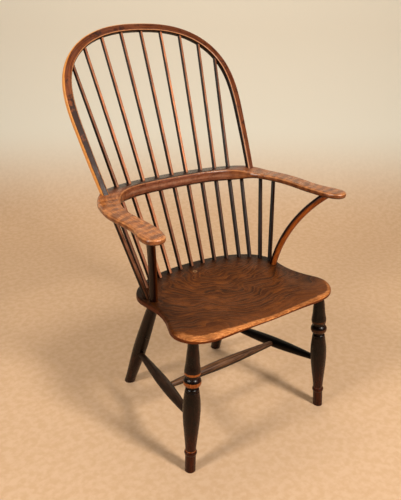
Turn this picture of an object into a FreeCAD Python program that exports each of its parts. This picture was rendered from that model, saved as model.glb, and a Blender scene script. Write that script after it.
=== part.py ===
import FreeCAD, Part
import os
from math import radians, sin, cos, asin, pi

# High-backed Windsor armchair, millimetres, +Z up.
# The front of the chair faces -Y. While it is laid out, y = 0 is the waist of the seat.

V = FreeCAD.Vector

# Seat plank
seat_height = 400.0        # floor to the flat rim of the seat
seat_thick = 33.0
seat_front = 200.0         # waist to the middle of the front edge
seat_back = 186.0          # waist to the middle of the back edge
seat_front_half = 259.0    # half width over the front corners
seat_waist_half = 229.0    # half width at the waist
seat_rear_half = 236.0     # half width where the rounded back begins
seat_rear_start = 60.0     # waist to where the rounded back begins
seat_back_power = 2.2      # 2 is an ellipse, more is squarer
seat_corner = 65.0         # radius of the front corners
seat_flare = 80.0          # waist to half way along the flare to the corners
front_bow = 8.0            # the front edge bows forward this much between the corners
seat_top_round = 7.0
bevel_height = 17.0        # the edge is bevelled away underneath to look thin
bevel_depth = 32.0
rough_top = 6.0            # thickness that the saddling takes off even at the rim

# Saddling of the seat
dish_depth = 9.0
dish_half = 205.0          # half width of the hollow
dish_front = 235.0         # from the deepest line to where the hollow runs out, forward
dish_rear = 150.0          # the same, backward
dish_middle = -20.0        # y of the deepest line
dish_level = 0.25          # share of the hollow that is level in the middle
front_fall = 6.0           # how far the front edge is worn below the rim
front_fall_reach = 90.0    # how far back from the front edge that wear begins
saddle_steps = 14          # spans of the saddled surface each way
saddle_spread = 1.15       # the surface is drawn this much wider than the seat

# Arm bow, one bent and flattened stick, seen in plan
arm_top = 648.0            # floor to the top of the arms
arm_thick = 16.0
bow_rise = 8.0             # the back of the bow stands this much above the arms
bow_drop = 12.0            # and reaches this much below them
bow_round = 6.5
ramp_start = 150.0         # y where the arm begins to thicken
ramp_end = 232.0           # y where it has its full thickness
bow_stations = [           # x and y of the middle of the stick, and its width there
    (0.0, 262.0, 42.0),
    (50.0, 261.0, 42.0),
    (100.0, 257.5, 42.0),
    (150.0, 249.0, 44.0),
    (196.0, 233.0, 50.0),
    (232.0, 208.0, 57.0),
    (257.0, 174.0, 60.0),
    (272.0, 136.0, 59.0),
    (281.0, 98.0, 57.0),
    (285.0, 58.0, 55.0),
    (284.0, 18.0, 53.0),
    (282.0, -18.0, 52.0),
    (284.0, -52.0, 54.0),
    (289.0, -82.0, 59.0),
    (293.0, -104.0, 57.0),
]
hand_length = 31.0         # rounded end beyond the last station

# Back hoop, a bent stick in a leaning plane
hoop_rake = 29.0           # degrees that the plane leans back from upright
hoop_plane_y = 205.0       # y of the plane at the top of the arms
hoop_foot_half = 250.0     # half width between the feet
hoop_shoulder_half = 274.5
hoop_shoulder = 250.0      # up the rake, from the arms to the widest place
hoop_rise = 463.0          # up the rake, from the arms to the crown
hoop_power = 2.4           # 2 is an ellipse, more is squarer
hoop_leg_power = 1.35      # 1 is a straight leg, more is bent
hoop_width = 24.0          # across the stick, in the plane
hoop_foot_width = 20.0
hoop_crown_width = 22.0
hoop_thick = 17.0          # square to the plane
hoop_round = 5.0
hoop_tenon = 14.0
hoop_sunk = 42.0           # the stick is bent this much longer than the bow lets it show
tenon_root = 15.0          # how far a turned tenon runs back into its own stick

# Spindles
spindle_margin = 23.0      # rim of the seat to the row of spindles
foot_pitch = 41.0          # long spindles, along the row in the seat
head_pitch = 66.0          # long spindles, along the hoop
short_pitch = 33.0         # short spindles, along the row in the seat
short_heads = (233.0, 295.0, 340.0)    # along the bow, from its middle
long_each_side = 4
spindle_foot = 12.6        # diameters
spindle_swell = 13.2
spindle_head = 10.4
short_head = 11.4
swell_at = 0.35            # share of the length below the swell
spindle_depth = 22.0       # socket in the seat
short_depth = 13.0         # socket in the underside of the arm

# Legs
front_foot = (238.0, -173.0)
front_top = (217.0, -153.0)
rear_foot = (174.0, 259.0)
rear_top = (141.0, 129.0)
leg_tenon = 21.0           # how far a leg enters the seat, with no shoulder
front_leg_foot = 14.0      # radii of the turned front leg, from the floor up
ring_radius = 16.6
ankle_radius = 13.9
baluster_radius = 22.9     # the swelling of the leg, like a long jar
baluster_top = 18.4
collar_radius = 17.6       # small rounded collar on top of the baluster
neck_radius = 13.9
bead_shoulder = 16.8
bead_radius = 22.8
vase_lip = 19.8            # sharp lower edge of the vase
vase_radius = 20.8
front_leg_top = 13.4
ring_height = 56.0         # heights up the front leg
ring_half = 7.0
baluster_height = 186.0
collar_height = 238.0
collar_groove = 1.2
neck_height = 249.0
neck_half = 2.5
bead_half = 13.0
bead_gap = 7.0             # hollow between the bead and the vase
vase_height = 291.0
rear_leg_foot = 16.2       # radii of the plain rear leg
rear_leg_swell = 21.0
rear_leg_top = 15.2
rear_swell_height = 145.0
floor_waste = 20.0         # legs are turned this much too long and sawn level with the floor

# Stretchers
side_rear_height = 128.0   # where the side stretcher meets the rear leg
side_front_height = 159.0
side_end = 8.4             # radii
side_swell = 16.0
cross_at = 0.58            # share of the side stretcher behind the cross stretcher, and its swell
cross_end = 8.2
cross_swell = 14.4
shoulder_at = 0.44         # share of the way to its swell where a stretcher has this share of it
shoulder_fill = 0.5
stretcher_depth = 20.0     # tenon in a leg
cross_depth = 14.0         # tenon in a side stretcher

# Crook supports under the arms
support_foot = (212.0, 34.0)
support_head = (287.0, -81.0)
support_lean = 10.0        # degrees from upright at the seat
support_depth = 19.0       # across the stick, in the plane of its bend
support_width = 14.0
support_round = 3.5
support_tenon = 11.0
support_foot_tenon = 20.0  # how deep the foot enters the seat
support_head_tenon = 10.0
support_spare = 18.0       # how much longer the stick is bent, to be fitted at both ends

# Fits
fit = 0.2                  # play round every tenon
end_play = 0.5             # play beyond the end of a blind tenon

seat_under = seat_height - seat_thick
arm_under = arm_top - arm_thick
beyond = 400.0             # further from the middle than any edge of the arm bow


# Small helpers

def at_height(foot, top, z):
    """Point of a leg's axis at height z, from its foot on the floor to its top under the seat."""
    share = z / seat_under
    return V(foot[0] + (top[0] - foot[0]) * share, foot[1] + (top[1] - foot[1]) * share, z)


def mix(low, high, share):
    return low + (high - low) * share


def place(shape, start, direction):
    """Stand a shape that was made along +Z on a start point, pointing along a direction."""
    moved = shape.copy()
    moved.Placement = FreeCAD.Placement(start, FreeCAD.Rotation(V(0, 0, 1), direction))
    return moved


def smooth(points, closed=False):
    """One smooth curve through a few points."""
    curve = Part.BSplineCurve()
    curve.interpolate(Points=points, PeriodicFlag=closed)
    return curve


def turning(pieces, bottom, grow=0.0):
    """Solid of revolution about Z. Each piece ends at (height, radius) points: a line has one,
    an arc has a middle and an end, and more points are one smooth curve."""
    z, radius = bottom
    here = V(radius + grow, 0, z)
    edges = [Part.makeLine(V(0, 0, z), here)]
    for piece in pieces:
        ends = [V(r + grow, 0, h) for h, r in piece]
        if len(ends) == 1:
            edges.append(Part.makeLine(here, ends[0]))
        elif len(ends) == 2:
            edges.append(Part.Arc(here, ends[0], ends[1]).toShape())
        else:
            edges.append(smooth([here] + ends).toShape())
        here = ends[-1]
    top = V(0, 0, here.z)
    edges.append(Part.makeLine(here, top))
    edges.append(Part.makeLine(top, V(0, 0, z)))
    return Part.Face(Part.Wire(edges)).revolve(V(0, 0, 0), V(0, 0, 1), 360)


def mirror(shape):
    return shape.mirror(V(0, 0, 0), V(1, 0, 0))


def largest(shape):
    return max(shape.Solids, key=lambda solid: solid.Volume)


def round_edges(shape, radius, wanted):
    """Round the edges that a test picks by the edge's own middle."""
    picked = [e for e in shape.Edges if wanted(e.valueAt((e.FirstParameter + e.LastParameter) / 2), e)]
    return shape.makeFillet(radius, picked)


def superellipse(half_x, half_y, power, angle):
    """Point of a squarish ellipse, with the angle measured from +Y."""
    x = half_x * abs(sin(angle)) ** (2 / power)
    y = half_y * abs(cos(angle)) ** (2 / power)
    return x, y


def two_sides(stations):
    """Points along both sides of a stick, half its width from each station of its middle line."""
    outer, inner = [], []
    last = len(stations) - 1
    for i, (x, y, width) in enumerate(stations):
        before = stations[max(i - 1, 0)]
        after = stations[min(i + 1, last)]
        along = V(after[0] - before[0], after[1] - before[1], 0) if i else V(1, 0, 0)
        along.normalize()
        side = V(-along.y, along.x, 0) * (width / 2)
        outer.append(V(x, y, 0) + side)
        inner.append(V(x, y, 0) - side)
    return outer, inner


# Seat outline and the row of spindles on it

def seat_back_point(inset, angle):
    x, y = superellipse(seat_rear_half - inset, seat_back - seat_rear_start - inset,
                        seat_back_power, radians(angle))
    return V(x, seat_rear_start + y, seat_height)


def seat_outline(inset=0.0):
    """From the middle of the back round the right side to the front, and back by the left."""
    back = [seat_back_point(inset, angle) for angle in (0, 18, 36, 52, 68, 82)]
    waist = V(seat_waist_half - inset, 0, seat_height)
    flare = V((seat_waist_half + seat_front_half) / 2 - inset, -seat_flare, seat_height)
    centre = V(seat_front_half - seat_corner, -seat_front + front_bow + seat_corner, seat_height)
    corner = []
    for angle in (0, 30, 60):
        turn = radians(angle)
        corner.append(centre + V(cos(turn), -sin(turn), 0) * (seat_corner - inset))
    front = V(0, -seat_front + inset, seat_height)
    share = 0.45
    half_way = V(seat_front_half * share, front.y + front_bow * share ** 2, seat_height)
    right = back + [waist, flare] + corner + [half_way, front]
    left = [V(-p.x, p.y, p.z) for p in reversed(right[1:-1])]
    return smooth(right + left, closed=True)


def row_curve():
    """Line on which the spindles stand, a margin inside the rim, from the middle to the right."""
    points = [seat_back_point(spindle_margin, angle) for angle in (0, 12, 24, 36, 48, 60, 72, 82)]
    straight = points[-1] - points[-2]
    straight.normalize()
    return smooth(points + [points[-1] + straight * spindle_margin])


def row_point(distance):
    row = row_curve()
    return row.value(row.parameterAtDistance(distance, row.FirstParameter))


def saddle_height(x, y):
    """Top of the seat: level at the rim, hollowed in the middle, and worn down in front."""
    def ease(share):
        return (1 + cos(pi * min(max(share, 0.0), 1.0))) / 2

    reach = dish_front if y < dish_middle else dish_rear
    away = ((x / dish_half) ** 2 + ((y - dish_middle) / reach) ** 2) ** 0.5
    hollow = dish_depth * ease((away - dish_level) / (1 - dish_level))
    to_front = seat_front + y
    fall = front_fall * ease(to_front / front_fall_reach)
    return seat_height - hollow - fall


def saddle_cutter():
    """Everything above the top of the seat."""
    grid = []
    for i in range(saddle_steps + 1):
        x = mix(-seat_front_half, seat_front_half, i / saddle_steps) * saddle_spread
        line = []
        for j in range(saddle_steps + 1):
            y = mix(-seat_front, seat_back, j / saddle_steps) * saddle_spread
            line.append(V(x, y, saddle_height(x, y)))
        grid.append(line)
    top = Part.BSplineSurface()
    top.interpolate(grid)
    return top.toShape().extrude(V(0, 0, seat_thick))


def seat_blank():
    """The plank is sawn to the outline a little too thick, bevelled, and saddled down to its rim."""
    rim = Part.Wire(seat_outline().toShape())
    top = rim.copy()
    top.translate(V(0, 0, rough_top))
    rim.translate(V(0, 0, bevel_height - seat_thick))
    under = Part.Wire(seat_outline(bevel_depth).toShape())
    under.translate(V(0, 0, -seat_thick))
    plank = Part.makeLoft([under, rim, top], True, True)
    plank = largest(plank.cut(saddle_cutter()))
    above = seat_height - seat_top_round - front_fall
    return round_edges(plank, seat_top_round, lambda p, e: p.z > above and e.Length > seat_front)


# Arm bow

def bow_line():
    return smooth([V(x, y, arm_top) for x, y, width in bow_stations])


def bow_point(distance):
    line = bow_line()
    return line.value(line.parameterAtDistance(distance, line.FirstParameter))


def bow_outline():
    """Closed outline in plan, with round hands beyond the last stations."""
    outer, inner = two_sides(bow_stations)
    end = (outer[-1] + inner[-1]) * 0.5
    across = outer[-1] - end
    forward = V(across.y, -across.x, 0).normalize() * hand_length
    hand = []
    for angle in (45, 90, 135):
        turn = radians(angle)
        hand.append(end + across * cos(turn) + forward * sin(turn))
    right = outer + hand + list(reversed(inner))
    left = [V(-p.x, p.y, 0) for p in reversed(right[1:-1])]
    return smooth(right + left, closed=True)


def bow_side_view():
    """Side view of the stick, thick at the back and flattened along the arms."""
    middle = (ramp_start + ramp_end) / 2
    top, under = arm_top + bow_rise, arm_under - bow_drop

    def ramp(low, high):
        points = [V(0, ramp_start, low), V(0, middle, (low + high) / 2), V(0, ramp_end, high)]
        curve = Part.BSplineCurve()
        curve.interpolate(Points=points, InitialTangent=V(0, 1, 0), FinalTangent=V(0, 1, 0))
        return curve.toShape()

    edges = [
        Part.makeLine(V(0, -beyond, arm_top), V(0, ramp_start, arm_top)),
        ramp(arm_top, top),
        Part.makeLine(V(0, ramp_end, top), V(0, beyond, top)),
        Part.makeLine(V(0, beyond, top), V(0, beyond, under)),
        Part.makeLine(V(0, beyond, under), V(0, ramp_end, under)),
        ramp(arm_under, under),
        Part.makeLine(V(0, ramp_start, arm_under), V(0, -beyond, arm_under)),
        Part.makeLine(V(0, -beyond, arm_under), V(0, -beyond, arm_top)),
    ]
    face = Part.Face(Part.Wire(Part.__sortEdges__(edges)))
    face.translate(V(-beyond, 0, 0))
    return face.extrude(V(2 * beyond, 0, 0))


def bow_blank():
    """The outline is sawn through a board thicker than the bow, which is then shaped from the side."""
    plan = Part.Face(Part.Wire(bow_outline().toShape()))
    board = 2 * (arm_thick + bow_rise + bow_drop)
    plan.translate(V(0, 0, (arm_top + arm_under - board) / 2))
    stick = plan.extrude(V(0, 0, board)).common(bow_side_view())
    return round_edges(largest(stick), bow_round, lambda p, e: e.Length > 2 * bow_round)


# Hoop

def hoop_place(x, up, out=0.0):
    """Point of the hoop's plane: x across, up the rake from the arms, and out to the front."""
    rake = radians(hoop_rake)
    return V(x, hoop_plane_y + up * sin(rake) - out * cos(rake), arm_top + up * cos(rake) + out * sin(rake))


def hoop_stations():
    """x, distance up the rake and width, from the crown down the right side to below the foot."""
    stations = []
    for angle in (0, 14, 28, 42, 56, 70):
        turn = radians(angle)
        x, up = superellipse(hoop_shoulder_half, hoop_rise - hoop_shoulder, hoop_power, turn)
        stations.append((x, hoop_shoulder + up, mix(hoop_crown_width, hoop_width, sin(turn))))
    spread = hoop_shoulder_half - hoop_foot_half
    for up in (hoop_shoulder, hoop_shoulder * 0.68, hoop_shoulder * 0.34, 0.0, -hoop_sunk):
        share = up / hoop_shoulder
        x = hoop_shoulder_half - spread * (1 - share) ** hoop_leg_power
        stations.append((x, up, mix(hoop_foot_width, hoop_width, max(share, 0))))
    return stations


def hoop_line():
    return smooth([hoop_place(x, up) for x, up, width in hoop_stations()])


def hoop_point(distance):
    line = hoop_line()
    return line.value(line.parameterAtDistance(distance, line.FirstParameter))


def hoop_blank():
    def whole(half):
        left = [V(-p.x, p.y, 0) for p in reversed(half[1:])]
        return [hoop_place(p.x, p.y, -hoop_thick / 2) for p in left + half]

    outer, inner = [whole(half) for half in two_sides(hoop_stations())]
    wire = Part.Wire([
        smooth(outer).toShape(),
        Part.makeLine(outer[-1], inner[-1]),
        smooth(list(reversed(inner))).toShape(),
        Part.makeLine(inner[0], outer[0]),
    ])
    front = hoop_place(0, 0, hoop_thick) - hoop_place(0, 0, 0)
    stick = Part.Face(wire).extrude(front)
    return round_edges(stick, hoop_round, lambda p, e: e.Length > hoop_rise)


def hoop_pin(grow=0.0):
    """Round tenon under the right foot of the hoop, long enough to pass through the bow."""
    upper = hoop_place(hoop_foot_half, 0)
    x, up, width = hoop_stations()[-1]
    down = hoop_place(x, up) - upper
    down.normalize()
    return Part.makeCylinder(hoop_tenon / 2 + grow, tenon_root + 2 * hoop_sunk, upper - down * tenon_root, down)


# Spindles

def spindle(foot, head, head_diameter, below, above=0.0, grow=0.0, extra=0.0):
    """Long taper from a foot on the seat to a head point, with its end set in below the foot."""
    axis = head - foot
    axis.normalize()
    start = foot - axis * (below + extra)
    length = (head - start).Length + above + extra
    swell = length * swell_at
    body = turning([[(swell, spindle_swell / 2)], [(length, head_diameter / 2)]],
                   (0, spindle_foot / 2), grow)
    return place(body, start, axis)


def long_spindle(number, grow=0.0, extra=0.0):
    """Number 0 is the middle one, and the rest are counted to the right."""
    return spindle(row_point(foot_pitch * number), hoop_point(head_pitch * number),
                   spindle_head, spindle_depth, 0, grow, extra)


def short_spindle(number, grow=0.0, extra=0.0):
    foot = row_point(foot_pitch * long_each_side + short_pitch * number)
    head = bow_point(short_heads[number - 1])
    head.z = arm_under
    return spindle(foot, head, short_head, spindle_depth, short_depth, grow, extra)


# Legs and stretchers

def leg_direction(foot, top):
    return V(top[0] - foot[0], top[1] - foot[1], seat_under)


def front_leg(grow=0.0, extra=0.0):
    """Turned leg: plain foot, small ring, long baluster with a collar, neck, bead and vase."""
    length = leg_direction(front_foot, front_top).Length
    ring_low = ring_height - ring_half
    ring_high = ring_height + ring_half
    collar_low = collar_height + collar_groove
    neck_low = neck_height - neck_half
    neck_high = neck_height + neck_half
    bead_middle = neck_high + bead_half
    bead_high = bead_middle + bead_half
    vase_low = bead_high + bead_gap

    def between(low, high, share, fill):
        """Point between two others: a share of the way up, and a share of the change of radius."""
        return mix(low[0], high[0], share), mix(low[1], high[1], fill)

    ankle = ring_high, ankle_radius
    fullest = baluster_height, baluster_radius
    shoulder = collar_height, baluster_top
    vase = vase_height, vase_radius
    top = length, front_leg_top
    pieces = [
        [(ring_low, front_leg_foot)],
        [(ring_height, ring_radius), ankle],
        [between(ankle, fullest, 0.2, 0.2), between(ankle, fullest, 0.5, 0.6),
         between(ankle, fullest, 0.76, 0.9), fullest,
         between(fullest, shoulder, 0.4, 0.14), between(fullest, shoulder, 0.7, 0.55), shoulder],
        [(collar_low, mix(neck_radius, collar_radius, 0.8))],
        [(mix(collar_low, neck_low, 0.5), collar_radius), (neck_low, mix(neck_radius, collar_radius, 0.5))],
        [(neck_low, neck_radius)],
        [(neck_high, neck_radius)],
        [(neck_high, bead_shoulder)],
        [(bead_middle, bead_radius), (bead_high, bead_shoulder)],
        [(vase_low, bead_shoulder)],
        [(vase_low, vase_lip)],
        [vase, between(vase, top, 0.23, 0.27), between(vase, top, 0.63, 0.64),
         between(vase, top, 0.84, 0.88), top],
        [(length + leg_tenon + extra, front_leg_top)],
    ]
    body = turning(pieces, (-floor_waste, front_leg_foot), grow)
    return place(body, V(front_foot[0], front_foot[1], 0), leg_direction(front_foot, front_top))


def rear_leg(grow=0.0, extra=0.0):
    """Plain leg that is fullest about the stretcher's height and tapers to both ends."""
    length = leg_direction(rear_foot, rear_top).Length
    upper = mix(rear_swell_height, length, 0.65), mix(rear_leg_swell, rear_leg_top, 0.65)
    pieces = [
        [(0, rear_leg_foot), (rear_swell_height, rear_leg_swell), upper, (length, rear_leg_top)],
        [(length + leg_tenon + extra, rear_leg_top)],
    ]
    body = turning(pieces, (-floor_waste, rear_leg_foot), grow)
    return place(body, V(rear_foot[0], rear_foot[1], 0), leg_direction(rear_foot, rear_top))


def above_floor(shape):
    under = Part.makeBox(2 * beyond, 2 * beyond, beyond, V(-beyond, -beyond, -beyond))
    return largest(shape.cut(under))


def swelled(start, end, end_radius, swell_radius, swell_share, depth, grow=0.0, extra=0.0):
    """Stretcher between two axes, with straight round tenons and a long swell between them."""
    length = (end - start).Length
    swell = length * swell_share
    shoulder = mix(end_radius, swell_radius, shoulder_fill)
    pieces = [
        [(depth, end_radius)],
        [(mix(0, swell, shoulder_at), shoulder), (swell, swell_radius),
         (mix(length, swell, shoulder_at), shoulder), (length - depth, end_radius)],
        [(length + extra, end_radius)],
    ]
    return place(turning(pieces, (-extra, end_radius), grow), start, end - start)


def side_ends():
    """Ends of the right side stretcher, on the middle lines of the two legs."""
    rear = at_height(rear_foot, rear_top, side_rear_height)
    front = at_height(front_foot, front_top, side_front_height)
    return rear, front


def side_stretcher(grow=0.0, extra=0.0):
    rear, front = side_ends()
    return swelled(rear, front, side_end, side_swell, cross_at, stretcher_depth, grow, extra)


def cross_stretcher(grow=0.0, extra=0.0):
    rear, front = side_ends()
    right = rear + (front - rear) * cross_at
    left = V(-right.x, right.y, right.z)
    middle = 0.5
    return swelled(left, right, cross_end, cross_swell, middle, cross_depth, grow, extra)


# Crook supports

def support_line():
    """Centre line as one arc in an upright plane, from a steep foot to a leaning head."""
    foot = V(support_foot[0], support_foot[1], seat_height)
    head = V(support_head[0], support_head[1], arm_under)
    flat = V(head.x - foot.x, head.y - foot.y, 0)
    run, rise = flat.Length, head.z - foot.z
    flat.normalize()
    lean = radians(support_lean)
    radius = (run ** 2 + rise ** 2) / (2 * (rise * -sin(lean) + run * cos(lean)))
    return foot, flat, lean, radius, run, rise


def support_blank():
    """Bent stick, drawn a little past the seat and the arm, which then trim it."""
    foot, flat, lean, radius, run, rise = support_line()
    centre_run = radius * cos(lean)
    centre_rise = -radius * sin(lean)

    def on(angle, offset):
        out = centre_run - (radius + offset) * cos(angle)
        up = centre_rise + (radius + offset) * sin(angle)
        return foot + flat * out + V(0, 0, up)

    first = lean - support_spare / radius
    last = asin((rise - centre_rise) / radius) + support_spare / radius
    middle = (first + last) / 2
    half = support_depth / 2
    wire = Part.Wire([
        Part.Arc(on(first, half), on(middle, half), on(last, half)).toShape(),
        Part.makeLine(on(last, half), on(last, -half)),
        Part.Arc(on(last, -half), on(middle, -half), on(first, -half)).toShape(),
        Part.makeLine(on(first, -half), on(first, half)),
    ])
    across = V(0, 0, 1).cross(flat)
    face = Part.Face(wire)
    face.translate(across * (-support_width / 2))
    stick = face.extrude(across * support_width)
    return round_edges(stick, support_round, lambda p, e: e.Length > 2 * support_depth)


def support_pins(grow=0.0, extra=0.0):
    """Round tenons of the right support: one down into the seat, one up into the arm."""
    foot, flat, lean, radius, run, rise = support_line()
    down = flat * -sin(lean) + V(0, 0, -cos(lean))
    head = V(support_head[0], support_head[1], arm_under)
    pins = []
    for start, way, depth in ((foot, down, support_foot_tenon), (head, V(0, 0, 1), support_head_tenon)):
        pins.append(Part.makeCylinder(support_tenon / 2 + grow, tenon_root + depth + extra,
                                      start - way * tenon_root, way))
    return pins


# Putting it together

def both(nodes, name, shape):
    nodes[name % "right"] = shape
    nodes[name % "left"] = mirror(shape)


def build():
    nodes = {}
    seat = seat_blank()
    bow = bow_blank()
    hoop = largest(hoop_blank().cut(bow))
    pin = hoop_pin()
    hoop = largest(hoop.fuse([pin.common(bow), mirror(pin).common(bow)]))
    support = largest(largest(support_blank().cut(bow)).cut(seat))
    lower, upper = support_pins()
    support = largest(support.fuse([lower.common(seat), upper.common(bow)]))

    long_holes = []
    for number in range(long_each_side + 1):
        body = long_spindle(number)
        hole = long_spindle(number, fit, end_play)
        long_holes += [hole, mirror(hole)]
        if number:
            both(nodes, "long_spindle_%s_" + str(number), body)
        else:
            nodes["long_spindle_middle"] = body
    short_holes = []
    for number in range(1, len(short_heads) + 1):
        hole = short_spindle(number, fit, end_play)
        short_holes += [hole, mirror(hole)]
        both(nodes, "short_spindle_%s_" + str(number), short_spindle(number))

    lower, upper = support_pins(fit, end_play)
    pin = hoop_pin(fit)
    seat_holes = long_holes + short_holes + [lower, mirror(lower)]
    for leg in (front_leg(fit, end_play), rear_leg(fit, end_play)):
        seat_holes += [leg, mirror(leg)]
    bow_holes = long_holes + short_holes + [upper, mirror(upper), pin, mirror(pin)]
    nodes["seat"] = largest(seat.cut(seat_holes))
    nodes["arm_bow"] = largest(bow.cut(bow_holes))
    nodes["back_hoop"] = largest(hoop.cut(long_holes))

    side_hole = side_stretcher(fit, end_play)
    cross_hole = cross_stretcher(fit, end_play)
    both(nodes, "front_leg_%s", largest(above_floor(front_leg()).cut(side_hole)))
    both(nodes, "rear_leg_%s", largest(above_floor(rear_leg()).cut(side_hole)))
    both(nodes, "side_stretcher_%s", largest(side_stretcher().cut(cross_hole)))
    both(nodes, "arm_support_%s", support)
    nodes["cross_stretcher"] = cross_stretcher()
    return nodes


def main():
    nodes = build()
    whole = Part.makeCompound(list(nodes.values())).optimalBoundingBox()
    to_origin = V(-(whole.XMin + whole.XMax) / 2, -(whole.YMin + whole.YMax) / 2, -whole.ZMin)
    os.makedirs("parts", exist_ok=True)
    for name, shape in nodes.items():
        shape.translate(to_origin)
        shape.exportStep("parts/%s.step" % name)
        print(name, len(shape.Solids), "solid", round(shape.Volume / 1000, 1), "cm3", shape.isValid())
    print("moved by", to_origin)


if __name__ == "__main__":
    main()
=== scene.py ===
# %% [markdown]
# A Windsor armchair, dressed for a studio picture.
#
# The shapes of this chair are made already: every stick, leg and plank comes from the CAD model,
# with its joints in place. What is missing is the wood. Old Windsor chairs mix several timbers
# under one dark polish: an elm seat, bent bows, and turned legs. A century of hands, elbows and
# boots has rubbed that polish away in the places that people touch.
#
# This lesson builds the wood from shader nodes. The grain follows each stick, the wear sits where
# use puts it, and nothing is painted from a picture.

from math import asin, atan2, cos, pi, radians, sin

import bpy
import numpy as np
from mathutils import Matrix, Vector


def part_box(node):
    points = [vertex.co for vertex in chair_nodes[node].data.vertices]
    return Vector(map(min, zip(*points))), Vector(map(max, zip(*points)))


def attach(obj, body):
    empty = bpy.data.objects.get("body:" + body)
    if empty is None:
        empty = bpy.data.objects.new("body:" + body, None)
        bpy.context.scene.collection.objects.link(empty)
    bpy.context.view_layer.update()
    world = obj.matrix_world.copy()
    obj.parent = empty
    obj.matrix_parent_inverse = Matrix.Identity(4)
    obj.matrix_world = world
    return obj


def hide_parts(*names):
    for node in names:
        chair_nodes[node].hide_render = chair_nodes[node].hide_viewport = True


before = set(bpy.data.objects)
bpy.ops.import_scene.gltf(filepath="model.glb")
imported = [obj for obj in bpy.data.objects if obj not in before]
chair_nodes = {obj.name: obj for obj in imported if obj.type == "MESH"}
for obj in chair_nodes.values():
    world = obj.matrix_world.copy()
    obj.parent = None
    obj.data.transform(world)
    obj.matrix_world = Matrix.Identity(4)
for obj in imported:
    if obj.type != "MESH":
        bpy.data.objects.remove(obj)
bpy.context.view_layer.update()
print("pieces of the chair:", len(chair_nodes))

# %% [markdown]
# The camera comes first, because every later choice is judged through it.
#
# A camera can be placed by eye, but a chair has enough long straight sticks to work its place out:
# it stands about a metre and a half from the chair, in front and to its left, as high as the top
# of the back. The lens is a normal one. The small shift says that the picture was cropped a little
# off the middle. Turning the camera would not copy that, because turning also tilts the legs.

# %% Camera
camera_place = Vector((-0.8916, -1.2177, 1.1007))
camera_aim = Vector((-0.1097, -0.1202, 0.5123))
camera_roll = radians(0.415)
focal_in_pixels = 565.0
picture_height = 500.0
crop_aside, crop_up = 7.2, 7.0
sensor = 36.0

camera_data = bpy.data.cameras.new("camera")
camera_data.sensor_width = sensor
camera_data.lens = sensor * focal_in_pixels / picture_height
camera_data.shift_x = crop_aside / picture_height
camera_data.shift_y = crop_up / picture_height
camera = bpy.data.objects.new("camera", camera_data)
bpy.context.scene.collection.objects.link(camera)
look = (camera_aim - camera_place).to_track_quat("-Z", "Y")
camera.matrix_world = (Matrix.Translation(camera_place) @ look.to_matrix().to_4x4()
                       @ Matrix.Rotation(camera_roll, 4, "Z"))
bpy.context.scene.camera = camera
print("lens in millimetres:", round(camera_data.lens, 1))

# %% [markdown]
# The stage is a pale floor that sweeps up into a backdrop, as photographers hang a roll of paper.
#
# A flat floor alone would end in a hard horizon behind the hoop. So a plane is extruded upwards
# along its far edge, and the corner is bevelled into a wide quarter round, where the eye finds no
# line. The roll hangs square to the camera, so that its edges stay out of the picture.

# %% Floor and backdrop
floor_size = 9.0
wall_height = 4.0
wall_behind = 2.2
sweep_radius = 1.0
sweep_steps = 24
near_floor = 0.1
view_turn = atan2(camera_aim.x - camera_place.x, camera_aim.y - camera_place.y)
back_step = wall_behind - floor_size / 2
floor_middle = (back_step * sin(view_turn), back_step * cos(view_turn), 0)
bpy.ops.object.select_all(action="DESELECT")
bpy.ops.mesh.primitive_plane_add(size=floor_size, location=floor_middle,
                                 rotation=(0, 0, -view_turn))
floor = bpy.context.object
floor.name = "floor"


def select_far_edge():
    """Selects the edge where the floor meets the wall, and goes back to edit mode."""
    bpy.ops.object.mode_set(mode="OBJECT")
    for edge in floor.data.edges:
        ends = [floor.data.vertices[v].co for v in edge.vertices]
        edge.select = all(end.y > 0 and end.z < near_floor for end in ends)
    bpy.ops.object.mode_set(mode="EDIT")


bpy.ops.object.mode_set(mode="EDIT")
bpy.ops.mesh.select_mode(type="EDGE")
bpy.ops.mesh.select_all(action="DESELECT")
select_far_edge()
bpy.ops.mesh.extrude_region_move(TRANSFORM_OT_translate={"value": (0, 0, wall_height)})
select_far_edge()
bpy.ops.mesh.bevel(offset=sweep_radius, segments=sweep_steps, affect="EDGES")
bpy.ops.mesh.select_all(action="SELECT")
bpy.ops.mesh.normals_make_consistent(inside=True)
bpy.ops.object.mode_set(mode="OBJECT")
bpy.ops.object.transform_apply(location=True, rotation=True, scale=True)
bpy.ops.object.shade_smooth()
print("faces of floor and backdrop:", len(floor.data.polygons))

# %% [markdown]
# Polished wood shows its roundness by the lights that it mirrors, so a lamp is a large panel and
# not a point. The main panel stands high in front of the chair. It lights the front of every
# spindle and the front edge of the seat, where a highlight is also painted into the wood. A second
# panel on the chair's left keeps the dark legs from going flat, and a third lights the backdrop.
#
# The world is dim, because a bright one would veil the dark sides of the sticks. Only the camera
# sees it pale, so that the floor ends softly in a view from the back. The picture is shown without
# a film curve, which would soften these deep, plain browns.

# %% Lights
room_light = (1.0, 0.94, 0.86, 1)
room_strength = 0.10
far_backdrop = (0.72, 0.56, 0.40, 1)
lamp_colour = (1.0, 0.93, 0.84)

world = bpy.data.worlds.new("studio")
bpy.context.scene.world = world
world.use_nodes = True
sky = world.node_tree
dim = sky.nodes["Background"]
dim.inputs["Color"].default_value = room_light
dim.inputs["Strength"].default_value = room_strength
pale = sky.nodes.new("ShaderNodeBackground")
pale.inputs["Color"].default_value = far_backdrop
choice = sky.nodes.new("ShaderNodeMixShader")
seen = sky.nodes.new("ShaderNodeLightPath").outputs["Is Camera Ray"]
for number, result in enumerate((seen, dim.outputs[0], pale.outputs[0])):
    sky.links.new(result, choice.inputs[number])
sky.links.new(choice.outputs[0], sky.nodes["World Output"].inputs["Surface"])
bpy.context.scene.view_settings.view_transform = "Standard"


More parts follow.
